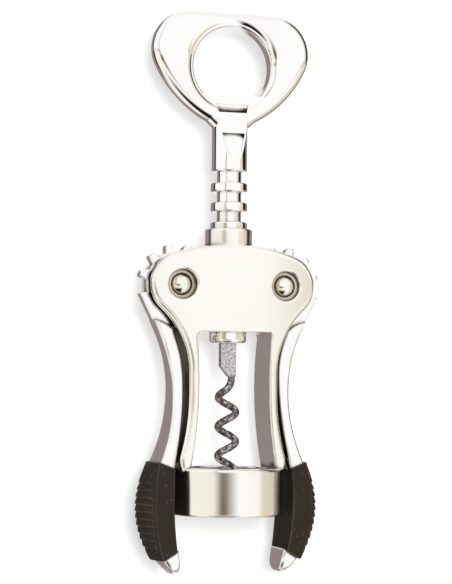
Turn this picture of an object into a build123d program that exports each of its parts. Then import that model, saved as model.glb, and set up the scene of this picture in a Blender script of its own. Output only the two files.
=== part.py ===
from build123d import *
import math
import os

# Lever corkscrew with a cap opener on its handle, in millimetres.
# +Z runs up the spindle, +X is to the right, the front faces -Y.
# The origin is the middle of the bell's lower rim, where the bottle goes in.

# Bell over the bottle's mouth
bell_outer_r = 18.0
bell_bore_r = 15.9
bell_height = 14.9
bottle_seat_depth = 9.0
cork_hole_r = 12.6
bell_lip_round = 0.7

# Frame casting: legs, window, crowned shield and collar
window_height = 43.1
window_top_half = 12.6
window_waist_half = 11.6
window_corner_r = 1.6
leg_waist_width = 3.1
leg_foot_width = 3.1
leg_foot_inset = 0.5
leg_foot_height = 4.4
leg_sink = 1.5
waist_height = 27.0
waist_straight = 6.0
pivot_above_window = 15.0
shield_round_r = 10.1
shield_top_above_pivot = 13.0
frame_depth = 16.0
crown_r = 214.0
rim_round = 1.6
window_round = 0.8
collar_r = 7.7
collar_height = 5.1
collar_round = 0.6

# Ringed spindle, which is a rack that can turn, and the toothed lever heads
gear_module = 2.0
teeth_per_turn = 12
teeth_left = 7
spindle_ring_r = 6.0
groove_depth = 2.0
rack_addendum = 0.7
ring_width = 3.0
ring_round = 0.5
rings_above_pivot = 5
end_boss_length = 9.1
end_boss_round = 1.2
tooth_tip_width = 1.7
tooth_root_width = 3.6
tooth_backlash = 0.75
tooth_tip_clearance = 0.3
tooth_root_clearance = 0.7
head_width = 4.0
head_side_clearance = 0.2
head_sweep_clearance = 0.6
cavity_width = 8.8

# Rivets
rivet_r = 2.75
rivet_head_r = 3.6
rivet_head_height = 1.7
rivet_recess_r = 4.7
rivet_recess_depth = 2.1
recess_bevel = 0.45
rivet_seat_clearance = 0.02
rivet_running_clearance = 0.06
pivot_boss_r = 5.2

# Guide bush in the collar
bush_wall = 0.65
bush_length = 6.5
bush_running_clearance = 0.08
bush_seat_clearance = 0.06
bush_top_recess = 0.2
spindle_bore_clearance = 0.25

# Lever arms
arm_gap = 1.2
arm_waist_width = 3.65
arm_inner_waist_above_bell = 27.6
arm_outer_waist_above_bell = 22.6
arm_taper_drop = 23.0
arm_root_drop = 11.8
arm_root_offset = 2.7
arm_root_width = 5.55
arm_root_depth = 6.6
arm_foot_inset = 0.6
arm_foot_toe = 0.3
arm_edge_round = 1.0
arm_step_fall = 3.0
arm_overrun = 3.0
head_corner_angle = 14.0

# Grips
grip_gap = 1.9
grip_front_width = 5.95
grip_bulge = 4.1
grip_depth = 16.8
grip_top_above_bell = 1.85
grip_length = 30.75
grip_inner_bow_r = 95.0
grip_ridge_bow_r = 57.0
grip_apex_bow_r = 25.5
grip_depth_bow_r = 110.0
grip_inner_bow_z = 6.0
grip_ridge_bow_z = 4.5
grip_apex_bow_z = 2.4
grip_top_tilt = 21.0
grip_bottom_tilt = 32.0
grip_end_inset = 0.25
grip_overrun = 2.0
grip_rib_count = 10
grip_rib_pitch = 2.24
grip_rib_drop = 1.15
grip_rib_margin = 0.75
grip_rib_run = 1.7
grip_rib_step = 0.45
grip_rib_fade = 1.2
grip_wall = 1.7
core_half_depth = 4.6
core_clearance = 0.04
tip_length = 4.4
tip_toe = 1.0
tip_inner_draw = 1.6
tip_outer_draw = 2.1
tip_edge_round = 1.1

# Handle: neck and cap opener
neck_r = 5.8
neck_gap = 3.6
neck_length = 15.6
neck_end_round = 0.5
neck_flat_start = 2.4
pocket_below_plate = 3.3
pocket_length = 9.0
pocket_width = 7.6
pocket_depth = 1.5
plate_depth = 6.6
plate_round = 3.0
plate_foot_sink = 1.6
plate_half_width = 26.5
plate_corner_r = 12.4
plate_height = 35.7
plate_corner_end = 26.0
shoulder_half = 8.0
opener_hole_r = 13.0
opener_hole_round = 1.0
opener_dish_r = 16.1
opener_dish_depth = 0.85
opener_dish_round = 3.7
opener_dish_lean = 6.0
opener_below_top = 17.5
opener_lip_drop = 9.2
lip_pocket_drop = 2.8
lip_pocket_height = 2.8
lip_pocket_width = 11.0
lip_pocket_taper = 0.8
lip_pocket_bevel = 0.4
lip_pocket_depth = 2.2

# Worm
wire_r = 1.2
worm_mean_r = 2.85
worm_pitch = 9.4
worm_turns = 2.725
worm_tip_length = 5.0
worm_tip_r = 0.12
worm_leave = 0.05
worm_lead_in = 5.6
worm_knee_drop = 2.9
worm_knee_front = 2.1
shank_width = 5.2
shank_depth = 2.3
shank_visible = 10.6
shank_shoulder = 3.3
shank_seat = 7.0
shank_clearance = 0.04
wire_shank_offset = 1.35
cross_pin_r = 1.0
cross_pin_height = 4.6
cross_pin_sink = 0.3
cross_pin_clearance = 0.02

# Places that follow from the sizes above
window_top_z = bell_height + window_height
pivot_z = window_top_z + pivot_above_window
shield_top_z = pivot_z + shield_top_above_pivot
collar_top_z = shield_top_z + collar_height
waist_z = bell_height + waist_height
frame_waist_half = window_waist_half + leg_waist_width
frame_foot_half = bell_outer_r - leg_foot_inset
window_foot_half = frame_foot_half - leg_foot_width
gear_pitch_r = gear_module * teeth_per_turn / 2
rack_pitch = math.pi * gear_module
tooth_angle = 360 / teeth_per_turn
groove_r = spindle_ring_r - groove_depth
pivot_x = spindle_ring_r - rack_addendum + gear_pitch_r
tooth_tip_r = pivot_x - groove_r - tooth_tip_clearance
tooth_root_r = pivot_x - spindle_ring_r - tooth_root_clearance
tooth_pitch_width = rack_pitch - ring_width - tooth_backlash
cavity_r = tooth_tip_r + head_sweep_clearance
bush_inner_r = spindle_ring_r + bush_running_clearance
bush_outer_r = bush_inner_r + bush_wall
bush_seat_r = bush_outer_r + bush_seat_clearance
spindle_bore_r = spindle_ring_r + spindle_bore_clearance
grip_top_z = bell_height + grip_top_above_bell
grip_bottom_z = grip_top_z - grip_length
grip_inner_peak = bell_outer_r + grip_gap
grip_ridge_peak = grip_inner_peak + grip_front_width
grip_apex_peak = grip_ridge_peak + grip_bulge
arm_inner_waist_z = bell_height + arm_inner_waist_above_bell
arm_outer_waist_z = bell_height + arm_outer_waist_above_bell
arm_taper_z = pivot_z - arm_taper_drop
arm_root_z = pivot_z - arm_root_drop
end_boss_top_z = pivot_z - 1.5 * rack_pitch
end_boss_bottom_z = end_boss_top_z - end_boss_length
neck_bottom_z = pivot_z + rings_above_pivot * rack_pitch + ring_width / 2 + neck_gap
neck_top_z = neck_bottom_z + neck_length
plate_top_z = neck_top_z + plate_height
opener_z = plate_top_z - opener_below_top
wire_top_z = end_boss_bottom_z - shank_visible
frame_box = 4 * bell_outer_r


def crown_half_depth(x):
    """Half the frame's depth at a distance x from the middle."""
    return frame_depth / 2 - crown_r + math.sqrt(crown_r**2 - x**2)


def bow(peak, radius, middle, z):
    """A shallow round curve with its peak at the height middle."""
    return peak - (z - middle) ** 2 / (2 * radius)


def flare(z, waist_z_at, waist_value, end_z, end_value):
    """A value that widens from the waist towards an end, as a shallow round curve does."""
    return waist_value + (end_value - waist_value) * ((z - waist_z_at) / (end_z - waist_z_at)) ** 2


def upright(face, half_depth):
    """A face drawn in x and z, thickened to both sides of the middle plane."""
    return extrude(Plane.XZ * face, amount=half_depth, both=True)


def across(radius, length):
    """A round bar along Y."""
    return Rot(90, 0, 0) * Cylinder(radius, length)


def point_on(centre, radius, towards):
    """The point of a circle that lies towards another point."""
    dx = towards[0] - centre[0]
    dz = towards[1] - centre[1]
    reach = math.hypot(dx, dz)
    return (centre[0] + radius * dx / reach, centre[1] + radius * dz / reach)


def mirrored_face(edges):
    """A closed face from the edges of its right half."""
    line = Curve() + edges
    return make_face(line + mirror(line, about=Plane.YZ))


def frame_outline():
    """Outer outline of shield and legs: arcs that run into each other."""
    pivot = (pivot_x, pivot_z)
    inner_top = shield_top_z - shield_round_r
    top_centre_z = (inner_top**2 - pivot_x**2 - pivot_z**2) / (2 * (inner_top - pivot_z))
    top_centre = (0, top_centre_z)
    waist_top = (frame_waist_half, waist_z + waist_straight / 2)
    waist_low = (frame_waist_half, waist_z - waist_straight / 2)
    dx = frame_waist_half - pivot_x
    dz = waist_top[1] - pivot_z
    hollow_r = (dx**2 + dz**2 - shield_round_r**2) / (2 * (shield_round_r - dx))
    hollow_centre = (frame_waist_half + hollow_r, waist_top[1])
    away = (2 * pivot_x - top_centre[0], 2 * pivot_z - top_centre[1])
    shoulder_top = point_on(pivot, shield_round_r, away)
    shoulder_low = point_on(pivot, shield_round_r, hollow_centre)
    shoulder_side = (pivot_x + shield_round_r, pivot_z)
    top_middle = point_on(top_centre, shield_top_z - top_centre_z, (shoulder_top[0] / 2, shield_top_z))
    between = ((shoulder_low[0] + waist_top[0]) / 2, (shoulder_low[1] + waist_top[1]) / 2)
    hollow_middle = point_on(hollow_centre, hollow_r, between)
    foot = (frame_foot_half, bell_height + leg_foot_height)
    sole = (frame_foot_half - leg_foot_inset, bell_height - leg_sink)
    leg = TangentArc(waist_low, foot, tangent=(0, -1))
    edges = [
        ThreePointArc((0, shield_top_z), top_middle, shoulder_top),
        ThreePointArc(shoulder_top, shoulder_side, shoulder_low),
        ThreePointArc(shoulder_low, hollow_middle, waist_top),
        Line(waist_top, waist_low),
        leg,
        TangentArc(foot, sole, tangent=leg % 1),
        Line(sole, (0, bell_height - leg_sink)),
    ]
    return mirrored_face(edges)


def window_outline():
    """Opening between the legs, with rounded upper corners."""
    corner = (window_top_half, window_top_z)
    foot = (window_foot_half, bell_height - leg_sink)
    edges = [
        Line((0, window_top_z), corner),
        ThreePointArc(corner, (window_waist_half, waist_z), foot),
        Line(foot, (0, bell_height - leg_sink)),
    ]
    face = mirrored_face(edges)
    return fillet(face.vertices().group_by(Axis.Y)[-1], window_corner_r)


def rim_edges(solid, outline):
    """Edges of the crowned faces that run along an outline."""
    faces = solid.faces().sort_by(Axis.Y)
    rim = (Plane.XZ * outline).face().outer_wire()
    found = []
    for edge in faces[0].edges() + faces[-1].edges():
        middle = edge @ 0.5
        level = Vertex(middle.X, 0, middle.Z)
        if middle.Z > bell_height - leg_sink + 0.1 and level.distance_to(rim) < 0.05:
            found.append(edge)
    return found


def crowned_slab():
    """Shield and legs as one crowned plate with soft edges and the window cut out."""
    crown_shift = crown_r - frame_depth / 2
    slab = upright(frame_outline(), frame_depth)
    slab &= Pos(0, crown_shift, pivot_z) * Cylinder(crown_r, frame_box * 4)
    slab &= Pos(0, -crown_shift, pivot_z) * Cylinder(crown_r, frame_box * 4)
    slab -= upright(window_outline(), frame_depth)
    slab = slab.solid()
    slab = fillet(rim_edges(slab, frame_outline()), rim_round)
    slab = slab.solid()
    slab = fillet(rim_edges(slab, window_outline()), window_round)
    return slab.solid()


def bell():
    """Turned ring with a shoulder that stops the bottle's lip."""
    ring = Cylinder(bell_outer_r, bell_height, align=(Align.CENTER, Align.CENTER, Align.MIN))
    outer = ring.edges().filter_by(GeomType.CIRCLE)
    ring = fillet(outer, bell_lip_round)
    ring -= Cylinder(bell_bore_r, bottle_seat_depth, align=(Align.CENTER, Align.CENTER, Align.MIN))
    return ring - Cylinder(cork_hole_r, 3 * bell_height)


def collar():
    """Short tube on top of the shield."""
    length = collar_top_z - pivot_z
    tube = Pos(0, 0, pivot_z) * Cylinder(collar_r, length, align=(Align.CENTER, Align.CENTER, Align.MIN))
    return fillet(tube.edges().group_by(Axis.Z)[-1], collar_round)


def head_cavity(side):
    """Room for one toothed lever head, with a boss left standing on each plate."""
    boss_length = (cavity_width - head_width) / 2 - head_side_clearance
    boss_y = cavity_width / 2 - boss_length / 2
    room = across(cavity_r, cavity_width)
    for front in (-1, 1):
        room -= Pos(0, front * boss_y, 0) * across(pivot_boss_r, boss_length)
    return Pos(side * pivot_x, 0, pivot_z) * room


def rivet_recess(side, front):
    """Counterbore for a rivet's head, with a bevelled rim square to the crown."""
    face_y = crown_half_depth(pivot_x)
    recess = Pos(0, front * face_y, 0) * across(rivet_recess_r, 2 * rivet_recess_depth)
    bevel = Cone(rivet_recess_r - recess_bevel / 4, rivet_recess_r + recess_bevel, 5 * recess_bevel / 4,
                 align=(Align.CENTER, Align.CENTER, Align.MAX))
    lean = math.degrees(math.asin(pivot_x / crown_r))
    recess += Pos(0, front * face_y, 0) * Rot(0, 0, -side * front * lean) * Rot(-front * 90, 0, 0) * bevel
    return Pos(side * pivot_x, 0, pivot_z) * recess


def frame_body():
    """Frame casting: bell, legs, shield and collar in one piece."""
    body = crowned_slab() + collar() + bell()
    bore_length = collar_top_z - window_top_z + bell_height
    body -= Pos(0, 0, collar_top_z) * Cylinder(
        spindle_bore_r, 2 * bore_length, align=(Align.CENTER, Align.CENTER, Align.CENTER)
    )
    body -= Pos(0, 0, collar_top_z - bush_top_recess - bush_length) * Cylinder(
        bush_seat_r, 2 * bush_length, align=(Align.CENTER, Align.CENTER, Align.MIN)
    )
    for side in (-1, 1):
        body -= head_cavity(side)
        body -= Pos(side * pivot_x, 0, pivot_z) * across(rivet_r + rivet_seat_clearance, 2 * frame_depth)
        for front in (-1, 1):
            body -= rivet_recess(side, front)
    return body.solid()


def pivot_rivet(side):
    """Rivet with a domed head at each end."""
    floor_y = crown_half_depth(pivot_x) - rivet_recess_depth
    dome_r = (rivet_head_r**2 + rivet_head_height**2) / (2 * rivet_head_height)
    rivet = across(rivet_r, 2 * floor_y)
    for front in (-1, 1):
        dome = Sphere(dome_r) & across(rivet_head_r, 4 * dome_r)
        dome -= Pos(0, -front * frame_depth, 0) * across(
            2 * dome_r, 2 * (frame_depth + dome_r - rivet_head_height)
        )
        rivet += Pos(0, front * (floor_y - dome_r + rivet_head_height), 0) * dome
    return (Pos(side * pivot_x, 0, pivot_z) * rivet).solid()


def guide_bush():
    """Plain sleeve that guides the spindle and turns with it."""
    low = (Align.CENTER, Align.CENTER, Align.MIN)
    sleeve = Cylinder(bush_outer_r, bush_length, align=low)
    sleeve -= Cylinder(bush_inner_r, 3 * bush_length)
    return Pos(0, 0, collar_top_z - bush_top_recess - bush_length) * sleeve


def grip_inner(z):
    return bow(grip_inner_peak, grip_inner_bow_r, grip_inner_bow_z, z)


def grip_ridge(z):
    return bow(grip_ridge_peak, grip_ridge_bow_r, grip_ridge_bow_z, z)


def grip_apex(z):
    return bow(grip_apex_peak, grip_apex_bow_r, grip_apex_bow_z, z)


def grip_half_depth(z):
    return bow(grip_depth / 2, grip_depth_bow_r, grip_apex_bow_z, z)


def grip_heights():
    """Heights of the grip's cross sections, from below its lower end to above its top."""
    reach = grip_length + 2 * grip_overrun
    return [grip_bottom_z - grip_overrun + reach * i / 5 for i in range(6)]


def grip_section(z, inset):
    """Level section of the grip, flat but for its round outer face, which is drawn in by the inset."""
    half = grip_half_depth(z)
    inner = grip_inner(z)
    ridge = grip_ridge(z) - inset
    edges = [
        Line((inner, -half), (ridge, -half)),
        ThreePointArc((ridge, -half), (grip_apex(z) - inset, 0), (ridge, half)),
        Line((ridge, half), (inner, half)),
        Line((inner, half), (inner, -half)),
    ]
    return Pos(0, 0, z) * make_face(Curve() + edges)


def rib_cut(z):
    """Cut that is deepest at the height z and runs out below, so that the ribs overlap as tiles do."""
    run = grip_rib_run * grip_rib_fade
    kept = loft([grip_section(z - run, grip_rib_step * (1 - grip_rib_fade)), grip_section(z, grip_rib_step)])
    block = Box(frame_box, grip_depth, run, align=(Align.MIN, Align.CENTER, Align.MAX))
    return Pos(grip_ridge(z) + grip_rib_margin, 0, z) * block - kept


def below(z, x, tilt):
    """Everything under a plane that rises outwards by the tilt, through a point at x and z."""
    block = Box(frame_box * 2, frame_box * 2, frame_box * 2, align=(Align.CENTER, Align.CENTER, Align.MAX))
    return Pos(x, 0, z) * Rot(0, -tilt, 0) * block


def grip_top_cut():
    """Everything under the grip's top, which is level outside the ridge and leans inside it."""
    hinge = grip_ridge(grip_top_z) - grip_end_inset
    return below(grip_top_z, hinge, grip_top_tilt) & below(grip_top_z, hinge, 0)


def grip_bottom_cut():
    """Everything under the grip's lower end, level outside the ridge and leaning inside it."""
    hinge = grip_ridge(grip_bottom_z) - grip_end_inset
    return below(grip_bottom_z, hinge, -grip_bottom_tilt) + below(grip_bottom_z, hinge, 0)


def lever_core(clearance):
    """Flat bent bar of the lever that runs through the grip, grown by a clearance."""
    low = grip_bottom_z - tip_length / 2
    high = grip_top_z + tip_length
    middle = (low + high) / 2
    heights = (low, middle, high)
    inner = [(grip_inner(z) + grip_wall - clearance, z) for z in heights]
    outer = [(grip_ridge(z) - grip_wall + clearance, z) for z in heights]
    edges = [
        ThreePointArc(*inner),
        Line(inner[2], outer[2]),
        ThreePointArc(*outer),
        Line(outer[0], inner[0]),
    ]
    return upright(make_face(Curve() + edges), core_half_depth + clearance)


def grip():
    """Moulded grip of the right lever with overlapping ribs across its outer face."""
    body = loft([grip_section(z, 0) for z in grip_heights()])
    rib_middle = (grip_top_z + grip_bottom_z) / 2 - grip_rib_drop
    for i in range(grip_rib_count):
        body -= rib_cut(rib_middle + (i - (grip_rib_count - 1) / 2) * grip_rib_pitch)
    body &= grip_top_cut()
    body -= grip_bottom_cut()
    body -= lever_core(core_clearance)
    return body.solid()


def arm_values(z):
    """Inner edge, outer edge and half depth of the right arm at one height."""
    waist_in = frame_waist_half + arm_gap
    waist_out = waist_in + arm_waist_width
    root_in = pivot_x + arm_root_offset
    foot_in = grip_inner(grip_top_z) - arm_foot_toe
    foot_out = grip_ridge(grip_top_z) - arm_foot_inset
    foot_half = grip_half_depth(grip_top_z) - arm_foot_inset
    if z > arm_inner_waist_z:
        inner = flare(z, arm_inner_waist_z, waist_in, arm_root_z, root_in)
    else:
        inner = flare(z, arm_inner_waist_z, waist_in, grip_top_z, foot_in)
    if z > arm_outer_waist_z:
        outer = flare(z, arm_outer_waist_z, waist_out, arm_root_z, root_in + arm_root_width)
    else:
        outer = flare(z, arm_outer_waist_z, waist_out, grip_top_z, foot_out)
    share = max(0, (arm_taper_z - z) / (arm_taper_z - grip_top_z))
    half = arm_root_depth / 2 + (foot_half - arm_root_depth / 2) * share
    return inner, outer, half


def rounded_section(z, inner, outer, half, corner):
    """Level rounded rectangle from the inner to the outer edge, its corners within a third of its width."""
    shape = RectangleRounded(outer - inner, 2 * half, min(corner, (outer - inner) / 3))
    return Pos((inner + outer) / 2, 0, z) * shape


def arm():
    """Right arm: waisted bar, thicker than the head, with an arched step at its top."""
    low = grip_top_z - arm_overrun
    reach = arm_root_z + arm_overrun - low
    heights = [low + reach * i / 8 for i in range(9)]
    bar = loft([rounded_section(z, *arm_values(z), arm_edge_round) for z in heights])
    inner, outer, half = arm_values(arm_root_z)
    step_out = (outer + arm_overrun, arm_root_z + arm_step_fall / 8)
    step_in = (inner - arm_overrun, arm_root_z - 2 * arm_step_fall)
    step_middle = ((inner + outer) / 2, arm_root_z - arm_step_fall / 8)
    above = arm_root_z + pivot_above_window
    arch = [
        ThreePointArc(step_in, step_middle, step_out),
        Line(step_out, (step_out[0], above)),
        Line((step_out[0], above), (step_in[0], above)),
        Line((step_in[0], above), step_in),
    ]
    bar -= upright(make_face(Curve() + arch), frame_depth)
    return bar - grip_top_cut()


def tip():
    """Bare rounded end of the right lever below the grip."""
    end_z = grip_bottom_z - tip_length
    top_z = grip_bottom_z + tip_length
    sections = []
    for share in (0, 0.14, 0.36, 0.66, 1):
        z = end_z + (top_z - end_z) * share
        taper = max(0, 1 - 2 * share)
        closed = 1 - math.sqrt(1 - taper**2)
        inner = grip_inner(z) - tip_toe + tip_inner_draw * closed
        outer = grip_ridge(z) - arm_foot_inset / 2 - tip_outer_draw * taper
        half = (grip_half_depth(z) - 2 * arm_foot_inset) * (1 - closed / 2)
        sections.append(rounded_section(z, inner, outer, half, tip_edge_round))
    return loft(sections) & grip_bottom_cut()


def tooth_outline():
    """One tooth, pointing along +X from the pivot."""
    base = math.sqrt(tooth_root_r**2 - tooth_root_width**2 / 4) - tooth_root_clearance
    half = [
        (base, tooth_root_width / 2),
        (gear_pitch_r, tooth_pitch_width / 2),
        (tooth_tip_r, tooth_tip_width / 2),
    ]
    return half + [(x, -y) for x, y in reversed(half)]


def lever_head():
    """Flat toothed head of the right lever, with the web that carries the arm."""
    face = Circle(tooth_root_r)
    for i in range(teeth_left):
        turn = 180 - (i - 0.5) * tooth_angle
        face += Rot(0, 0, turn) * make_face(Polyline(*tooth_outline(), close=True))
    inner, outer, half = arm_values(arm_root_z)
    low_in, low_out, low_half = arm_values(arm_root_z - arm_root_width)
    corner = math.radians(-head_corner_angle)
    web = [
        (tooth_tip_r * math.cos(corner), tooth_tip_r * math.sin(corner)),
        (outer - pivot_x, arm_root_z - pivot_z),
        (low_out - arm_edge_round - pivot_x, arm_root_z - arm_root_width - pivot_z),
        (low_in + arm_edge_round - pivot_x, arm_root_z - arm_root_width - pivot_z),
        (inner - pivot_x, arm_root_z - pivot_z),
        (0, -tooth_root_r + rivet_r),
        (0, 0),
    ]
    face += make_face(Polyline(*web, close=True))
    return upright(Pos(pivot_x, pivot_z) * face, head_width / 2)


def lever():
    """Right lever: toothed head, arm, core under the grip and bare tip in one casting."""
    core = lever_core(0) & below(grip_top_z + tip_length / 2, grip_ridge(grip_top_z), grip_top_tilt)
    body = lever_head() + arm() + core + tip()
    body -= Pos(pivot_x, 0, pivot_z) * across(rivet_r + rivet_running_clearance, 2 * frame_depth)
    return body.solid()


def rack():
    """Turned spindle: end boss, rings one tooth apart, thin core and neck."""
    low = (Align.CENTER, Align.CENTER, Align.MIN)
    core_length = neck_bottom_z + neck_flat_start - end_boss_bottom_z - end_boss_round
    spindle = Pos(0, 0, end_boss_bottom_z + end_boss_round) * Cylinder(groove_r, core_length, align=low)
    boss = Cylinder(spindle_ring_r, end_boss_length, align=low)
    boss = fillet(boss.edges().group_by(Axis.Z)[0], end_boss_round)
    boss = fillet(boss.edges().group_by(Axis.Z)[-1], ring_round)
    spindle += Pos(0, 0, end_boss_bottom_z) * boss
    ring = Cylinder(spindle_ring_r, ring_width)
    ring = fillet(ring.edges().filter_by(GeomType.CIRCLE), ring_round)
    for i in range(-1, rings_above_pivot + 1):
        spindle += Pos(0, 0, pivot_z + i * rack_pitch) * ring
    return spindle


def pocket(profile, mouth):
    """A hollow with one profile from front to back and one outline as seen from the front."""
    block = extrude(Plane.YZ * make_face(Polyline(*profile, close=True)), amount=plate_half_width, both=True)
    return block & upright(make_face(Polyline(*mouth, close=True)), 2 * neck_r)


def neck():
    """Round neck that is cut flat towards the plate, with a wedge pocket in each flat."""
    low = (Align.CENTER, Align.CENTER, Align.MIN)
    stem = Cylinder(neck_r, neck_length + plate_foot_sink, align=low)
    stem = fillet(stem.edges().group_by(Axis.Z)[0], neck_end_round)
    run = neck_length - neck_flat_start
    fall = neck_r - plate_depth / 2
    pocket_top = neck_length - pocket_below_plate
    pocket_low = pocket_top - pocket_length
    flat_y = neck_r - fall * (pocket_top - neck_flat_start) / run
    flat = Polyline(
        (-neck_r, neck_flat_start), (-neck_r + fall, neck_length), (-neck_r + fall, 2 * neck_length),
        (-2 * neck_r, 2 * neck_length), (-2 * neck_r, neck_flat_start), close=True,
    )
    wedge = [
        (-2 * neck_r, pocket_top), (-flat_y + pocket_depth, pocket_top),
        (-neck_r, pocket_low), (-2 * neck_r, pocket_low),
    ]
    mouth = [
        (-pocket_width / 2, pocket_top), (pocket_width / 2, pocket_top),
        (pocket_width / 2 - pocket_depth, pocket_low + pocket_length / 3), (0, pocket_low),
        (pocket_depth - pocket_width / 2, pocket_low + pocket_length / 3),
    ]
    flat = extrude(Plane.YZ * make_face(flat), amount=2 * neck_r, both=True)
    for cut in (flat, pocket(wedge, mouth)):
        stem -= cut
        stem -= mirror(cut, about=Plane.XZ)
    return Pos(0, 0, neck_bottom_z) * stem


def plate_outline():
    """Rounded triangle of the opener plate, widest near its top."""
    corner = (plate_half_width - plate_corner_r, plate_top_z - plate_corner_r)
    end = math.radians(-plate_corner_end)
    side = (corner[0] + plate_corner_r * math.cos(end), corner[1] + plate_corner_r * math.sin(end))
    bend = math.radians(45)
    bend = (corner[0] + plate_corner_r * math.cos(bend), corner[1] + plate_corner_r * math.sin(bend))
    shoulder = (shoulder_half, neck_top_z + plate_foot_sink / 4)
    foot_z = neck_top_z - plate_foot_sink
    edges = [
        Line((0, plate_top_z), (corner[0], plate_top_z)),
        ThreePointArc((corner[0], plate_top_z), bend, side),
        TangentArc(side, shoulder, tangent=(math.sin(end), -math.cos(end))),
        Line(shoulder, (neck_r, foot_z)),
        Line((neck_r, foot_z), (0, foot_z)),
    ]
    return mirrored_face(edges)


def opener_dish():
    """Shallow ring round the hole of the opener, into which the plate's front face rolls softly."""
    lean = math.radians(opener_dish_lean)
    bead_r = opener_dish_r + opener_dish_round * math.sin(lean)
    ring = Cylinder(bead_r, 2 * opener_dish_depth)
    return ring - Pos(0, 0, -opener_dish_round * math.cos(lean)) * Torus(bead_r, opener_dish_round)


def lip_pocket():
    """Hollow below the lip on the front, bevelled above and deepest below."""
    face_y = opener_dish_depth - plate_depth / 2
    top = -opener_lip_drop - lip_pocket_drop
    low = top - lip_pocket_height
    half = lip_pocket_width / 2
    profile = [
        (face_y, top), (face_y + lip_pocket_bevel, top - lip_pocket_bevel),
        (face_y + lip_pocket_bevel, top - 2 * lip_pocket_bevel), (face_y + lip_pocket_depth, low),
        (-plate_depth, low), (-plate_depth, top),
    ]
    mouth = [(-half, top), (half, top), (half - lip_pocket_taper, low), (lip_pocket_taper - half, low)]
    return pocket(profile, mouth)


def opener_plate():
    """Opener plate with a dished hole whose set-back lip hooks under a crown cap."""
    plate = upright(plate_outline(), plate_depth / 2)
    rims = plate.faces().sort_by(Axis.Y)
    outer = [e for e in rims[0].edges() + rims[-1].edges() if (e @ 0.5).Z > neck_top_z - plate_foot_sink / 2]
    plate = fillet(outer, plate_round)
    middle = Pos(0, 0, opener_z)
    for turn in (90, -90):
        plate -= middle * Rot(turn, 0, 0) * Pos(0, 0, plate_depth / 2) * opener_dish()
    hole = across(opener_hole_r, 2 * plate_depth)
    lip = Pos(0, 0, -opener_lip_drop) * Box(
        4 * opener_hole_r, 4 * plate_depth, 4 * opener_hole_r, align=(Align.CENTER, Align.CENTER, Align.MAX)
    )
    plate -= middle * (hole - lip)
    rims = plate.edges().filter_by(GeomType.CIRCLE).filter_by(lambda e: abs(e.radius - opener_hole_r) < 0.01)
    plate = fillet(rims, opener_hole_round)
    plate -= middle * lip_pocket()
    return plate - mirror(middle * lip_pocket(), about=Plane.XZ)


def shank_slot():
    """Slot in the end boss for the worm's flat shank."""
    low = (Align.CENTER, Align.CENTER, Align.MIN)
    width = shank_width + 2 * shank_clearance
    depth = shank_depth + 2 * shank_clearance
    return Pos(0, 0, end_boss_bottom_z - shank_seat) * Box(
        width, depth, 2 * shank_seat + shank_clearance, align=low
    )


def cross_pin_hole():
    return Pos(0, 0, end_boss_bottom_z + cross_pin_height) * across(
        cross_pin_r + cross_pin_clearance, 4 * spindle_ring_r
    )


def handle_spindle():
    """Handle casting: opener plate, neck and ringed spindle."""
    body = rack() + neck() + opener_plate()
    body -= shank_slot()
    return (body - cross_pin_hole()).solid()


def cross_pin():
    """Pin that holds the worm's shank in the spindle."""
    length = 2 * (spindle_ring_r - cross_pin_sink)
    return Pos(0, 0, end_boss_bottom_z + cross_pin_height) * across(cross_pin_r, length)


def helix_point(angle):
    """Point of the worm's middle line; the angle runs up the worm, in turns from its left side."""
    turn = math.pi + 2 * math.pi * angle
    height = wire_top_z - worm_lead_in + worm_pitch * (angle - worm_leave)
    return Vector(worm_mean_r * math.cos(turn), worm_mean_r * math.sin(turn), height)


def helix_direction(angle):
    turn = math.pi + 2 * math.pi * angle
    climb = worm_pitch / (2 * math.pi)
    return Vector(-worm_mean_r * math.sin(turn), worm_mean_r * math.cos(turn), climb).normalized()


def biarc(start, start_direction, end, end_direction):
    """Two arcs that leave and arrive along the given directions."""
    chord = end - start
    both = start_direction + end_direction
    a = both.dot(both) - 4
    b = -2 * chord.dot(both)
    c = chord.dot(chord)
    reach = (-b - math.sqrt(b * b - 4 * a * c)) / (2 * a)
    first = start + start_direction * reach
    second = end - end_direction * reach
    joint = (first + second) * 0.5
    along = (second - first).normalized()
    return [TangentArc(start, joint, tangent=start_direction), TangentArc(joint, end, tangent=along)]


def worm():
    """Worm: wire wound into a right-handed screw, pointed below and with a flat shank above."""
    steps = math.ceil(4 * worm_turns)
    angles = [worm_leave - worm_turns * (1 - i / steps) for i in range(steps + 1)]
    path = []
    for low, high in zip(angles, angles[1:]):
        path += biarc(helix_point(low), helix_direction(low), helix_point(high), helix_direction(high))
    up = Vector(0, 0, 1)
    joint = Vector(wire_shank_offset, 0, wire_top_z + wire_r)
    knee = Vector(0, -worm_knee_front, wire_top_z - worm_knee_drop)
    lean = (joint - helix_point(worm_leave)).normalized()
    path += biarc(helix_point(worm_leave), helix_direction(worm_leave), knee, lean)
    path += biarc(knee, lean, joint, up)
    start = helix_point(angles[0])
    along = helix_direction(angles[0])
    wire = sweep(Plane(start, z_dir=along) * Circle(wire_r), path=Wire(Curve() + path))
    point = Plane(start, z_dir=-along) * Cone(
        wire_r, worm_tip_r, worm_tip_length, align=(Align.CENTER, Align.CENTER, Align.MIN)
    )
    half = shank_width / 2
    shank = Polyline(
        (-half, end_boss_bottom_z + shank_seat), (half, end_boss_bottom_z + shank_seat),
        (half, wire_top_z), (wire_shank_offset - wire_r, wire_top_z),
        (-half, wire_top_z + shank_shoulder), close=True,
    )
    shank = upright(make_face(shank), shank_depth / 2)
    shank -= cross_pin_hole()
    return (wire + point + shank).solid()


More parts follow.
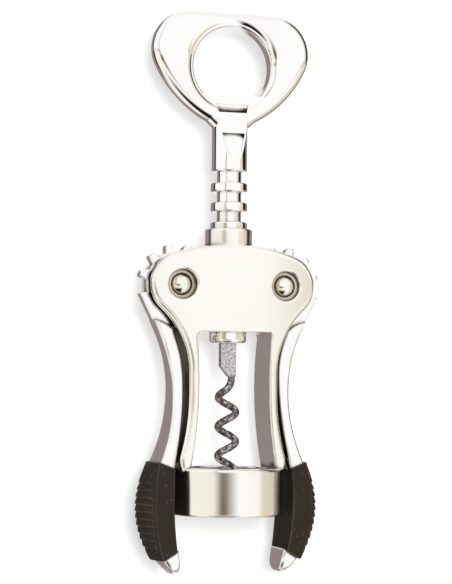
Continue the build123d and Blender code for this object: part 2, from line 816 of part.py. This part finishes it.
def least_coil_gap():
    """Least gap between neighbouring turns of the worm, measured on points."""
    count = 60
    points = [helix_point(i / count) for i in range(int(count * worm_turns))]
    gaps = []
    for i, first in enumerate(points):
        for second in points[i + count // 2:]:
            gaps.append((first - second).length - 2 * wire_r)
    return min(gaps)


def mirrored(solid):
    return mirror(solid, about=Plane.YZ)


right_lever = lever()
right_grip = grip()
nodes = {
    "frame_body": frame_body(),
    "left_pivot_rivet": pivot_rivet(-1),
    "right_pivot_rivet": pivot_rivet(1),
    "guide_bush": guide_bush(),
    "left_lever": mirrored(right_lever),
    "right_lever": right_lever,
    "left_grip": mirrored(right_grip),
    "right_grip": right_grip,
    "handle_spindle": handle_spindle(),
    "worm": worm(),
    "worm_cross_pin": cross_pin(),
}

os.makedirs("parts", exist_ok=True)
for name, solid in nodes.items():
    export_step(solid, f"parts/{name}.step")
print(f"least gap between the worm's turns: {least_coil_gap():.2f} mm")
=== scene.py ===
import math

import bpy
from mathutils import Matrix, Vector


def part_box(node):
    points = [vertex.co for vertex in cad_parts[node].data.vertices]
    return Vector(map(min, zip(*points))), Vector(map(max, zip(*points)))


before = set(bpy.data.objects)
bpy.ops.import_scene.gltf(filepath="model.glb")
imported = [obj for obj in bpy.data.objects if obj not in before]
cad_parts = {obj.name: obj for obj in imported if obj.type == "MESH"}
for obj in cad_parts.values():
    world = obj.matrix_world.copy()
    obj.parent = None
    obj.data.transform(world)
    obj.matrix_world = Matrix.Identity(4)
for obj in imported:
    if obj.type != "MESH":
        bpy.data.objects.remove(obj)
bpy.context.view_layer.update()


# Frame: bell, legs, shield and collar, cast in one piece of zinc.
# It is nickel plated and blasted to a fine satin, so it is ivory with a soft sheen,
# and its tone drifts a little where the plating is thicker.
def join(tree, *pairs):
    """Joins each output to the input beside it."""
    for out, into in pairs:
        tree.links.new(out, into)


def sockets(group, inputs, outputs):
    """Named sockets of a node group: inputs with their values, then outputs."""
    for name, kind, value in inputs:
        group.interface.new_socket(name, in_out="INPUT", socket_type=kind).default_value = value
    for name, kind in outputs:
        group.interface.new_socket(name, in_out="OUTPUT", socket_type=kind)


def plating():
    """Plated metal: fine grain, hairlines of handling and slow drift of tone."""
    hairline_stretch = (90, 90, 5200)
    hairline_turn = (0.3, 0.5, 0.2)
    hairline_depth = -0.6
    group = bpy.data.node_groups.new("plating", "ShaderNodeTree")
    sockets(
        group,
        [
            ("Colour", "NodeSocketColor", (0.9, 0.9, 0.9, 1)),
            ("Drift Colour", "NodeSocketColor", (0.8, 0.8, 0.8, 1)),
            ("Grain Scale", "NodeSocketFloat", 2600.0),
            ("Drift Scale", "NodeSocketFloat", 55.0),
            ("Hairlines", "NodeSocketFloat", 0.5),
            ("Smooth", "NodeSocketFloat", 0.1),
            ("Rough", "NodeSocketFloat", 0.3),
        ],
        [("Colour", "NodeSocketColor"), ("Roughness", "NodeSocketFloat"), ("Height", "NodeSocketFloat")],
    )
    node = group.nodes.new
    given = node("NodeGroupInput")
    result = node("NodeGroupOutput")
    place = node("ShaderNodeTexCoord")
    grain = node("ShaderNodeTexNoise")
    grain.inputs["Detail"].default_value = 5
    grain.inputs["Roughness"].default_value = 0.6
    drift = node("ShaderNodeTexNoise")
    drift.inputs["Detail"].default_value = 3
    stretch = node("ShaderNodeMapping")
    stretch.inputs["Scale"].default_value = hairline_stretch
    stretch.inputs["Rotation"].default_value = hairline_turn
    lines = node("ShaderNodeTexNoise")
    lines.inputs["Scale"].default_value = 1
    lines.inputs["Detail"].default_value = 4
    sparse = node("ShaderNodeMapRange")
    sparse.inputs["From Min"].default_value = 0.56
    sparse.inputs["From Max"].default_value = 0.74
    scored = node("ShaderNodeMath")
    scored.operation = "MULTIPLY"
    rough_share = node("ShaderNodeMath")
    rough_share.operation = "MULTIPLY_ADD"
    spread = node("ShaderNodeMapRange")
    height = node("ShaderNodeMath")
    height.operation = "MULTIPLY_ADD"
    height.inputs[1].default_value = hairline_depth
    tone = node("ShaderNodeMix")
    tone.data_type = "RGBA"
    share = node("ShaderNodeMapRange")
    share.inputs["From Min"].default_value = 0.35
    share.inputs["From Max"].default_value = 0.7
    join(
        group,
        (place.outputs["Object"], grain.inputs["Vector"]),
        (given.outputs["Grain Scale"], grain.inputs["Scale"]),
        (place.outputs["Object"], drift.inputs["Vector"]),
        (given.outputs["Drift Scale"], drift.inputs["Scale"]),
        (place.outputs["Object"], stretch.inputs["Vector"]),
        (stretch.outputs["Vector"], lines.inputs["Vector"]),
        (lines.outputs["Fac"], sparse.inputs["Value"]),
        (sparse.outputs["Result"], scored.inputs[0]),
        (given.outputs["Hairlines"], scored.inputs[1]),
        (grain.outputs["Fac"], rough_share.inputs[0]),
        (drift.outputs["Fac"], rough_share.inputs[1]),
        (scored.outputs["Value"], rough_share.inputs[2]),
        (rough_share.outputs["Value"], spread.inputs["Value"]),
        (given.outputs["Smooth"], spread.inputs["To Min"]),
        (given.outputs["Rough"], spread.inputs["To Max"]),
        (scored.outputs["Value"], height.inputs[0]),
        (grain.outputs["Fac"], height.inputs[2]),
        (drift.outputs["Fac"], share.inputs["Value"]),
        (share.outputs["Result"], tone.inputs["Factor"]),
        (given.outputs["Colour"], tone.inputs["A"]),
        (given.outputs["Drift Colour"], tone.inputs["B"]),
        (tone.outputs["Result"], result.inputs["Colour"]),
        (spread.outputs["Result"], result.inputs["Roughness"]),
        (height.outputs["Value"], result.inputs["Height"]),
    )
    return group


def crevice_painted_shade():
    """Painted shade: darkens the colour in corners and recesses, where little of the sky is open to the metal."""
    group = bpy.data.node_groups.new("crevice_painted_shade", "ShaderNodeTree")
    sockets(
        group,
        [
            ("Colour", "NodeSocketColor", (0.9, 0.9, 0.9, 1)),
            ("Shade Colour", "NodeSocketColor", (0.12, 0.078, 0.04, 1)),
            ("Reach", "NodeSocketFloat", 0.0025),
            ("Open Sky", "NodeSocketFloat", 0.82),
            ("Closed Sky", "NodeSocketFloat", 0.44),
        ],
        [("Colour", "NodeSocketColor")],
    )
    node = group.nodes.new
    given = node("NodeGroupInput")
    result = node("NodeGroupOutput")
    sky = node("ShaderNodeAmbientOcclusion")
    sky.samples = 8
    shade_amount = node("ShaderNodeMapRange")
    shaded = node("ShaderNodeMix")
    shaded.data_type = "RGBA"
    join(
        group,
        (given.outputs["Reach"], sky.inputs["Distance"]),
        (sky.outputs["AO"], shade_amount.inputs["Value"]),
        (given.outputs["Open Sky"], shade_amount.inputs["From Min"]),
        (given.outputs["Closed Sky"], shade_amount.inputs["From Max"]),
        (shade_amount.outputs["Result"], shaded.inputs["Factor"]),
        (given.outputs["Colour"], shaded.inputs["A"]),
        (given.outputs["Shade Colour"], shaded.inputs["B"]),
        (shaded.outputs["Result"], result.inputs["Colour"]),
    )
    return group


plated = plating()
painted_shade_group = crevice_painted_shade()


def plated_finish(
    name, colour, drift, grain_scale, hairlines, smooth, rough, depth, edge, crevice, open_sky,
    drift_scale=55.0, shade_colour=(0.12, 0.078, 0.04),
):
    """A plated metal: the shared plating, softly rounded edges, and painted shade darkening its crevices."""
    shade_range = 0.38
    material = bpy.data.materials.new(name)
    material.use_nodes = True
    tree = material.node_tree
    shader = tree.nodes["Principled BSDF"]
    shader.inputs["Metallic"].default_value = 1.0
    skin = tree.nodes.new("ShaderNodeGroup")
    skin.node_tree = plated
    skin.inputs["Colour"].default_value = (*colour, 1)
    skin.inputs["Drift Colour"].default_value = (*drift, 1)
    skin.inputs["Grain Scale"].default_value = grain_scale
    skin.inputs["Drift Scale"].default_value = drift_scale
    skin.inputs["Hairlines"].default_value = hairlines
    skin.inputs["Smooth"].default_value = smooth
    skin.inputs["Rough"].default_value = rough
    shaded = tree.nodes.new("ShaderNodeGroup")
    shaded.node_tree = painted_shade_group
    shaded.inputs["Shade Colour"].default_value = (*shade_colour, 1)
    shaded.inputs["Reach"].default_value = crevice
    shaded.inputs["Open Sky"].default_value = open_sky
    shaded.inputs["Closed Sky"].default_value = open_sky - shade_range
    rounded = tree.nodes.new("ShaderNodeBevel")
    rounded.samples = 6
    rounded.inputs["Radius"].default_value = edge
    relief = tree.nodes.new("ShaderNodeBump")
    relief.inputs["Distance"].default_value = depth
    join(
        tree,
        (skin.outputs["Colour"], shaded.inputs["Colour"]),
        (shaded.outputs["Colour"], shader.inputs["Base Color"]),
        (skin.outputs["Roughness"], shader.inputs["Roughness"]),
        (skin.outputs["Height"], relief.inputs["Height"]),
        (rounded.outputs["Normal"], relief.inputs["Normal"]),
        (relief.outputs["Normal"], shader.inputs["Normal"]),
    )
    return material


def dress(node, material):
    """Gives a CAD node one material."""
    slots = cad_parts[node].data.materials
    slots.clear()
    slots.append(material)


# Painted shade darkens the frame where its corners, slots and recesses close in.
satin_nickel = plated_finish(
    "satin_nickel", colour=(0.995, 0.982, 0.945), drift=(0.975, 0.95, 0.89),
    grain_scale=5200.0, hairlines=0.15, smooth=0.11, rough=0.24, depth=0.0000012,
    edge=0.0008, crevice=0.0026, open_sky=0.82,
)
dress("frame_body", satin_nickel)


# Guide bush: a plain sleeve of natural nylon, set in the collar for the spindle to run in.
# It is pale and a little cloudy, and shows only as a ring round the spindle.
bush_nylon = bpy.data.materials.new("bush_nylon")
bush_nylon.use_nodes = True
tree = bush_nylon.node_tree
shader = tree.nodes["Principled BSDF"]
shader.inputs["Roughness"].default_value = 0.45
place = tree.nodes.new("ShaderNodeTexCoord")
cloud = tree.nodes.new("ShaderNodeTexNoise")
cloud.inputs["Scale"].default_value = 900
tone = tree.nodes.new("ShaderNodeValToRGB")
tone.color_ramp.elements[0].color = (0.55, 0.52, 0.46, 1)
tone.color_ramp.elements[1].color = (0.68, 0.65, 0.58, 1)
join(
    tree,
    (place.outputs["Object"], cloud.inputs["Vector"]),
    (cloud.outputs["Fac"], tone.inputs["Fac"]),
    (tone.outputs["Color"], shader.inputs["Base Color"]),
)
dress("guide_bush", bush_nylon)


# Handle: opener, neck and ringed spindle, one zinc casting that runs down through the bush.
# It is polished and bright chrome plated, with few hairlines. Its edges stay crisp,
# so that the dish round the hole and the pockets of the neck show.
bright_chrome = {
    "colour": (0.99, 0.985, 0.98), "drift": (0.97, 0.96, 0.955),
    "grain_scale": 260.0, "hairlines": 0.35, "smooth": 0.02, "rough": 0.08, "depth": 0.000004,
    "crevice": 0.0025,
}
# Painted shade darkens only its tightest corners.
handle_chrome = plated_finish("handle_chrome", edge=0.0002, open_sky=0.62, **bright_chrome)
dress("handle_spindle", handle_chrome)


# Worm: hardened steel wire, wound, pointed below and hammered flat above.
# The shank is grey and finely pitted. The wound wire below it is painted darker,
# a painted shade for its darker reflections, with pale flecks; painted shade also darkens its corners.
shank_length = 0.0176
shade_start_above = 0.001
shade_full_below = 0.002
worm_steel = plated_finish(
    "worm_steel", colour=(0.82, 0.78, 0.79), drift=(0.20, 0.18, 0.185), drift_scale=1700.0,
    grain_scale=2600.0, hairlines=0.3, smooth=0.10, rough=0.36, depth=0.00008,
    edge=0.0002, crevice=0.0008, open_sky=0.72,
)
wire_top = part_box("worm")[1].z - shank_length
tree = worm_steel.node_tree
shader = tree.nodes["Principled BSDF"]
bare = shader.inputs["Base Color"].links[0].from_socket
place = tree.nodes.new("ShaderNodeTexCoord")
level = tree.nodes.new("ShaderNodeSeparateXYZ")
wire_shade_mask = tree.nodes.new("ShaderNodeMapRange")
wire_shade_mask.inputs["From Min"].default_value = wire_top + shade_start_above
wire_shade_mask.inputs["From Max"].default_value = wire_top - shade_full_below
flake = tree.nodes.new("ShaderNodeTexNoise")
flake.inputs["Scale"].default_value = 1000
flake.inputs["Detail"].default_value = 2
flecked = tree.nodes.new("ShaderNodeValToRGB")
flecked.color_ramp.elements[0].position = 0.44
flecked.color_ramp.elements[0].color = (0.27, 0.252, 0.258, 1)
flecked.color_ramp.elements[1].position = 0.60
flecked.color_ramp.elements[1].color = (0.95, 0.92, 0.93, 1)
wire_painted_shade = tree.nodes.new("ShaderNodeMix")
wire_painted_shade.data_type = "RGBA"
wire_painted_shade.blend_type = "MULTIPLY"
join(
    tree,
    (place.outputs["Object"], level.inputs["Vector"]),
    (level.outputs["Z"], wire_shade_mask.inputs["Value"]),
    (place.outputs["Object"], flake.inputs["Vector"]),
    (flake.outputs["Fac"], flecked.inputs["Fac"]),
    (flecked.outputs["Color"], wire_painted_shade.inputs["B"]),
    (wire_shade_mask.outputs["Result"], wire_painted_shade.inputs["Factor"]),
    (bare, wire_painted_shade.inputs["A"]),
    (wire_painted_shade.outputs["Result"], shader.inputs["Base Color"]),
)
dress("worm", worm_steel)


# Cross pin: a short plain pin, cut from drawn steel wire.
# It goes through the spindle's end and the worm's flat shank, and is hidden there.
# Painted shade darkens its corners, as on the other metals.
pin_steel = plated_finish(
    "pin_steel", colour=(0.6, 0.59, 0.58), drift=(0.45, 0.44, 0.43),
    grain_scale=2400.0, hairlines=0.5, smooth=0.15, rough=0.4, depth=0.000004,
    edge=0.0001, crevice=0.0005, open_sky=0.72,
)
dress("worm_cross_pin", pin_steel)


# Levers: two zinc castings, each with a toothed head, an arm and a bare tip.
# They are polished and bright chrome plated as the handle is, and the polishing
# has rounded their edges more.
# Painted shade darkens their corners, such as the foot of each arm's step.
lever_chrome = plated_finish("lever_chrome", edge=0.0012, open_sky=0.86, **bright_chrome)
for side in ("left", "right"):
    dress(f"{side}_lever", lever_chrome)


# Pivot rivets: two steel rivets with domed heads, each set in a round recess of the shield.
# They are turned, nickel plated and left bright, and a golden-brown painted shade darkens them round the domes,
# where the recess closes in.
rivet_steel = plated_finish(
    "rivet_steel", colour=(0.97, 0.95, 0.91), drift=(0.92, 0.88, 0.80),
    grain_scale=2400.0, hairlines=0.5, smooth=0.05, rough=0.16, depth=0.000003,
    edge=0.0003, crevice=0.003, open_sky=0.92, shade_colour=(0.44, 0.34, 0.20),
)
for side in ("left", "right"):
    dress(f"{side}_pivot_rivet", rivet_steel)


# Grips: black plastic, moulded over the levers' cores.
# The faces have the fine grain of the mould, the edges and ribs are painted paler, partly as rubbing wear and
# partly as a painted highlight, and a little dust clings to them.
def moulded_black():
    """Dark plastic with mould grain, paler along the edges as wear and as a painted highlight, and specks of dust.
    """
    speck_turn = (0.7, 0.4, 1.1)
    speck_limit = 0.76
    material = bpy.data.materials.new("black_grip")
    material.use_nodes = True
    tree = material.node_tree
    node = tree.nodes.new
    shader = tree.nodes["Principled BSDF"]
    shader.inputs["Specular IOR Level"].default_value = 0.22
    place = node("ShaderNodeTexCoord")
    grain = node("ShaderNodeTexNoise")
    grain.inputs["Scale"].default_value = 3800
    grain.inputs["Detail"].default_value = 4
    cloud = node("ShaderNodeTexNoise")
    cloud.inputs["Scale"].default_value = 130
    cloud.inputs["Detail"].default_value = 4
    tone = node("ShaderNodeValToRGB")
    tone.color_ramp.elements[0].position = 0.3
    tone.color_ramp.elements[0].color = (0.018, 0.0133, 0.0078, 1)
    tone.color_ramp.elements[1].position = 0.75
    tone.color_ramp.elements[1].color = (0.027, 0.021, 0.0133, 1)
    turn = node("ShaderNodeMapping")
    turn.inputs["Rotation"].default_value = speck_turn
    specks = node("ShaderNodeTexVoronoi")
    specks.inputs["Scale"].default_value = 900
    speck = node("ShaderNodeMapRange")
    speck.inputs["From Min"].default_value = 0.24
    speck.inputs["From Max"].default_value = 0.11
    split = node("ShaderNodeSeparateColor")
    pick = node("ShaderNodeMath")
    pick.operation = "GREATER_THAN"
    pick.inputs[1].default_value = speck_limit
    dust = node("ShaderNodeMath")
    dust.operation = "MULTIPLY"
    dusted = node("ShaderNodeMix")
    dusted.data_type = "RGBA"
    dusted.inputs["B"].default_value = (0.14, 0.115, 0.10, 1)
    gloss = node("ShaderNodeMapRange")
    gloss.inputs["To Min"].default_value = 0.5
    gloss.inputs["To Max"].default_value = 0.72
    rounded = node("ShaderNodeBevel")
    rounded.samples = 8
    rounded.inputs["Radius"].default_value = 0.0006
    shape = node("ShaderNodeNewGeometry")
    turned = node("ShaderNodeVectorMath")
    turned.operation = "DOT_PRODUCT"
    # Wear and painted highlight: paler where the rounded normal turns from the true one, along the edges and ribs.
    edge = node("ShaderNodeMapRange")
    edge.inputs["From Min"].default_value = 0.995
    edge.inputs["From Max"].default_value = 0.92
    uneven = node("ShaderNodeMapRange")
    uneven.inputs["From Min"].default_value = 0.36
    uneven.inputs["From Max"].default_value = 0.64
    uneven.inputs["To Min"].default_value = 0.35
    uneven.inputs["To Max"].default_value = 1.0
    rubbed_and_highlit = node("ShaderNodeMix")
    rubbed_and_highlit.data_type = "RGBA"
    rubbed_and_highlit.inputs["B"].default_value = (0.115, 0.096, 0.080, 1)
    relief = node("ShaderNodeBump")
    relief.inputs["Distance"].default_value = 0.00003
    join(
        tree,
        (place.outputs["Object"], grain.inputs["Vector"]),
        (place.outputs["Object"], cloud.inputs["Vector"]),
        (place.outputs["Object"], turn.inputs["Vector"]),
        (turn.outputs["Vector"], specks.inputs["Vector"]),
        (cloud.outputs["Fac"], tone.inputs["Fac"]),
        (specks.outputs["Distance"], speck.inputs["Value"]),
        (specks.outputs["Color"], split.inputs["Color"]),
        (split.outputs["Red"], pick.inputs[0]),
        (speck.outputs["Result"], dust.inputs[0]),
        (pick.outputs["Value"], dust.inputs[1]),
        (dust.outputs["Value"], dusted.inputs["Factor"]),
        (tone.outputs["Color"], dusted.inputs["A"]),
        (rounded.outputs["Normal"], turned.inputs[0]),
        (shape.outputs["True Normal"], turned.inputs[1]),
        (turned.outputs["Value"], edge.inputs["Value"]),
        (cloud.outputs["Fac"], uneven.inputs["Value"]),
        (uneven.outputs["Result"], edge.inputs["To Max"]),
        (edge.outputs["Result"], rubbed_and_highlit.inputs["Factor"]),
        (dusted.outputs["Result"], rubbed_and_highlit.inputs["A"]),
        (rubbed_and_highlit.outputs["Result"], shader.inputs["Base Color"]),
        (cloud.outputs["Fac"], gloss.inputs["Value"]),
        (gloss.outputs["Result"], shader.inputs["Roughness"]),
        (grain.outputs["Fac"], relief.inputs["Height"]),
        (rounded.outputs["Normal"], relief.inputs["Normal"]),
        (relief.outputs["Normal"], shader.inputs["Normal"]),
    )
    return material


black_grip = moulded_black()
for side in ("left", "right"):
    dress(f"{side}_grip", black_grip)


# Table: the pale top on which the corkscrew lies on its back, seen from above.
# It is white to the camera and takes the soft shadow, and it is clear from behind.
table_reach = 1.5
table_gap = 0.0004
table_glow = 0.4
table_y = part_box("frame_body")[1].y + table_gap
corners = [(-1, -1), (1, -1), (1, 1), (-1, 1)]
table_mesh = bpy.data.meshes.new("table")
table_mesh.from_pydata([(x * table_reach, table_y, z * table_reach) for x, z in corners], [], [(0, 1, 2, 3)])
table = bpy.data.objects.new("table", table_mesh)
bpy.context.scene.collection.objects.link(table)
table.visible_glossy = False
table_top = bpy.data.materials.new("table_top")
table_top.use_nodes = True
tree = table_top.node_tree
tree.nodes.remove(tree.nodes["Principled BSDF"])
matt = tree.nodes.new("ShaderNodeBsdfDiffuse")
matt.inputs["Color"].default_value = (0.8, 0.8, 0.8, 1)
ray = tree.nodes.new("ShaderNodeLightPath")
seen = tree.nodes.new("ShaderNodeMath")
seen.operation = "MAXIMUM"
lit = tree.nodes.new("ShaderNodeMath")
lit.operation = "MULTIPLY"
lit.inputs[1].default_value = table_glow
glow = tree.nodes.new("ShaderNodeEmission")
both = tree.nodes.new("ShaderNodeAddShader")
clear = tree.nodes.new("ShaderNodeBsdfTransparent")
facing = tree.nodes.new("ShaderNodeNewGeometry")
one_way = tree.nodes.new("ShaderNodeMixShader")
join(
    tree,
    (ray.outputs["Is Camera Ray"], seen.inputs[0]),
    (ray.outputs["Is Transmission Ray"], seen.inputs[1]),
    (seen.outputs["Value"], lit.inputs[0]),
    (lit.outputs["Value"], glow.inputs["Strength"]),
    (matt.outputs["BSDF"], both.inputs[0]),
    (glow.outputs["Emission"], both.inputs[1]),
    (facing.outputs["Backfacing"], one_way.inputs["Fac"]),
    (both.outputs["Shader"], one_way.inputs[1]),
    (clear.outputs["BSDF"], one_way.inputs[2]),
    (one_way.outputs["Shader"], tree.nodes["Material Output"].inputs["Surface"]),
)
table_mesh.materials.append(table_top)


# Camera: a long lens in front of the corkscrew, a little to its left and low.
# It looks slightly up and leans by half a degree, as the photograph does.
camera_turn = 0.328712
look_turn = 0.327652
look_up = 0.041551
lean = 0.009843
camera_distance = 0.650
camera_height = 0.043995
aim = Vector((
    math.sin(look_turn) * math.cos(look_up),
    math.cos(look_turn) * math.cos(look_up),
    math.sin(look_up),
))
level_right = Vector((math.cos(look_turn), -math.sin(look_turn), 0))
level_up = level_right.cross(aim)
right = math.cos(lean) * level_right + math.sin(lean) * level_up
up = math.cos(lean) * level_up - math.sin(lean) * level_right
camera_data = bpy.data.cameras.new("camera")
camera_data.sensor_width = 36.0
camera_data.lens = 125.02
camera_data.clip_start = 0.01
camera_data.clip_end = 10.0
camera = bpy.data.objects.new("camera", camera_data)
bpy.context.scene.collection.objects.link(camera)
camera.matrix_world = Matrix((
    (right.x, up.x, -aim.x, -camera_distance * math.sin(camera_turn)),
    (right.y, up.y, -aim.y, -camera_distance * math.cos(camera_turn)),
    (right.z, up.z, -aim.z, camera_height),
    (0, 0, 0, 1),
))
bpy.context.scene.camera = camera


# Studio: a pale tent with dark gaps, a stand and a greyer rear, which only the metal sees.
# Its colours go round by bearing in degrees from the camera's side, in five rings from the roof down.
# The camera sees plain white, and one broad lamp in front, to the right of the camera, gives the shadow.
world = bpy.data.worlds.new("studio")
bpy.context.scene.world = world
world.use_nodes = True
tree = world.node_tree
roof_colour = (0.95, 0.93, 0.91)
pale = (0.90, 0.87, 0.86)
mauve = (0.28, 0.235, 0.23)
black = (0.012, 0.010, 0.009)
ivory = (0.93, 0.905, 0.85)
golden = (0.84, 0.80, 0.71)
beige = (0.73, 0.665, 0.545)
white = (1.0, 1.0, 0.99)
stand = (0.12, 0.083, 0.04)
brown = (0.42, 0.36, 0.27)
rear_left = [(-180, pale), (-161, pale), (-156, mauve)]
low_rear_left = [(-180, pale), (-172, pale), (-163, mauve)]
rear_right = [(146, mauve), (156, pale)]
high_tent = [
    *rear_left, (-112, mauve), (-108, black), (-98, black), (-94, white), (-26, white), (-24, brown), (-20, brown),
    (-18, white), (70, white), (80, beige), (94, beige), (98, black), (124, black), (129, mauve), *rear_right,
]
upper_tent = [
    *rear_left, (-112, mauve), (-108, black), (-98, black), (-92, golden), (-40, golden), (-26, brown),
    (-17, brown), (-4, white), (43, white), (54, beige), (96, beige), (100, black), (115, black), (120, mauve),
    *rear_right,
]
lower_tent = [
    *rear_left, (-112, mauve), (-107, black), (-88, black), (-83, ivory), (-24, ivory), (-9, stand), (-1, stand),
    (26, white), (70, white), (80, beige), (112, beige), (118, mauve), *rear_right,
]
skirt_tent = [
    *low_rear_left, (-112, mauve), (-107, black), (-88, black), (-83, ivory), (-24, ivory), (26, white),
    (70, white), (80, beige), (112, beige), (118, mauve), *rear_right,
]
deep_tent = [
    *low_rear_left, (-125, mauve), (-100, ivory), (-48, ivory), (-32, black), (26, black), (40, white),
    (70, white), (80, beige), (112, beige), (118, mauve), *rear_right,
]
tent_rings = [
    (high_tent, 0.85, 0.72),
    (upper_tent, 0.086, 0.076),
    (lower_tent, 0.02, -0.03),
    (skirt_tent, -0.19, -0.25),
    (deep_tent, -0.42, -0.64),
]
rear_fill = 0.05
front_fill = 0.5
direction = tree.nodes.new("ShaderNodeTexCoord")
height = tree.nodes.new("ShaderNodeSeparateXYZ")
across = tree.nodes.new("ShaderNodeVectorMath")
across.operation = "DOT_PRODUCT"
across.inputs[1].default_value = level_right
ahead = tree.nodes.new("ShaderNodeVectorMath")
ahead.operation = "DOT_PRODUCT"
ahead.inputs[1].default_value = (-math.sin(look_turn), -math.cos(look_turn), 0)
bearing = tree.nodes.new("ShaderNodeMath")
bearing.operation = "ARCTAN2"
share = tree.nodes.new("ShaderNodeMath")
share.operation = "MULTIPLY_ADD"
share.inputs[1].default_value = 1 / (2 * math.pi)
share.inputs[2].default_value = 0.5


def tent_wall(colours):
    """Ramp of the tent's colours, by bearing from the camera's side."""
    ramp = tree.nodes.new("ShaderNodeValToRGB")
    stops = ramp.color_ramp.elements
    stops.remove(stops[1])
    stops[0].position = 0
    stops[0].color = (*colours[0][1], 1)
    for angle, colour in colours[1:]:
        stop = stops.new(angle / 360 + 0.5)
        stop.color = (*colour, 1)
    return ramp


def lower_part(above, wall, start, full):
    """Mixes a wall of the tent into what is above it, between two heights of view."""
    part = tree.nodes.new("ShaderNodeMapRange")
    part.inputs["From Min"].default_value = start
    part.inputs["From Max"].default_value = full
    mix = tree.nodes.new("ShaderNodeMix")
    mix.data_type = "RGBA"
    join(
        tree,
        (height.outputs["Z"], part.inputs["Value"]),
        (part.outputs["Result"], mix.inputs["Factor"]),
        (above, mix.inputs["A"]),
        (wall.outputs["Color"], mix.inputs["B"]),
        (share.outputs["Value"], wall.inputs["Fac"]),
    )
    return mix.outputs["Result"]


roof = tree.nodes.new("ShaderNodeRGB")
roof.outputs["Color"].default_value = (*roof_colour, 1)
tent = roof.outputs["Color"]
for colours, start, full in tent_rings:
    tent = lower_part(tent, tent_wall(colours), start, full)
ray = tree.nodes.new("ShaderNodeLightPath")
front = tree.nodes.new("ShaderNodeMapRange")
front.inputs["From Min"].default_value = -1
front.inputs["To Min"].default_value = rear_fill
front.inputs["To Max"].default_value = front_fill
plain = tree.nodes.new("ShaderNodeMix")
plain.data_type = "RGBA"
direct = tree.nodes.new("ShaderNodeMath")
direct.operation = "MAXIMUM"
shown = tree.nodes.new("ShaderNodeMix")
shown.data_type = "RGBA"
shown.inputs["B"].default_value = (1, 1, 1, 1)
join(
    tree,
    (direction.outputs["Generated"], across.inputs[0]),
    (direction.outputs["Generated"], ahead.inputs[0]),
    (direction.outputs["Generated"], height.inputs["Vector"]),
    (across.outputs["Value"], bearing.inputs[0]),
    (ahead.outputs["Value"], bearing.inputs[1]),
    (bearing.outputs["Value"], share.inputs[0]),
    (ahead.outputs["Value"], front.inputs["Value"]),
    (front.outputs["Result"], plain.inputs["A"]),
    (ray.outputs["Is Glossy Ray"], plain.inputs["Factor"]),
    (tent, plain.inputs["B"]),
    (ray.outputs["Is Camera Ray"], direct.inputs[0]),
    (ray.outputs["Is Transmission Ray"], direct.inputs[1]),
    (direct.outputs["Value"], shown.inputs["Factor"]),
    (plain.outputs["Result"], shown.inputs["A"]),
    (shown.outputs["Result"], tree.nodes["Background"].inputs["Color"]),
)
lamp_aim = Vector((0, 0, 0.07))
lamp_data = bpy.data.lights.new("lamp", "AREA")
lamp_data.shape = "SQUARE"
lamp_data.size = 0.35
lamp_data.energy = 6.0
lamp = bpy.data.objects.new("lamp", lamp_data)
bpy.context.scene.collection.objects.link(lamp)
lamp.location = (-0.11, -0.86, 0.16)
lamp.rotation_mode = "QUATERNION"
lamp.rotation_quaternion = (lamp_aim - lamp.location).to_track_quat("-Z", "Y")
lamp.visible_glossy = False
bpy.context.scene.view_settings.view_transform = "Standard"
